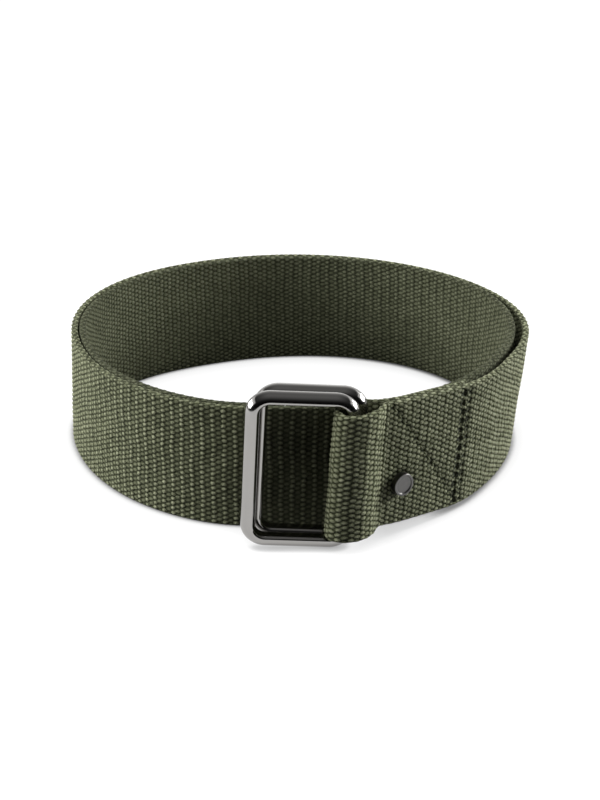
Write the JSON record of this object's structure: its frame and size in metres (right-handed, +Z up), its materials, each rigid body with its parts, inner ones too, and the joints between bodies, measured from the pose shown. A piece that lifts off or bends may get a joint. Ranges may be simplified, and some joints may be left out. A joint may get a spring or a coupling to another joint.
{
  "type": "webbing belt",
  "caption": "Webbing belt with a buckle of paired rectangular rings held in a sewn and riveted fold, coiled in turns and standing on its edge.",
  "frame": {"origin": "on the floor under the middle of the bounding box of the coiled belt", "axes": "+Z up, across the webbing; the buckle faces -Y; +X to the right as seen from the front"},
  "size_m": [0.1508, 0.1598, 0.0487],
  "materials": {
    "webbing": "heavy olive green woven webbing, matt",
    "front_ring_metal": "polished dark nickel plate",
    "rear_ring_metal": "polished dark nickel plate",
    "rivet_metal": "gunmetal, satin, with a raised rim"
  },
  "bodies": {
    "strap_body": {"strap": "webbing", "rivet": "rivet_metal"},
    "rear_ring_body": {"ring_rear": "rear_ring_metal"},
    "front_ring_body": {"ring_front": "front_ring_metal"}
  },
  "joints": [
    {"name": "rear_ring_swing", "type": "hinge", "parent": "strap_body", "child": "rear_ring_body", "pos_m": [0.01561, -0.07285, 0.02364], "axis": [0.0541, 0.0697, 0.9961], "range_deg": [0, 13]},
    {"name": "front_ring_swing", "type": "hinge", "parent": "rear_ring_body", "child": "front_ring_body", "pos_m": [0.01561, -0.07285, 0.02364], "axis": [0.0541, 0.0697, 0.9961], "range_deg": [0, 150]}
  ]
}
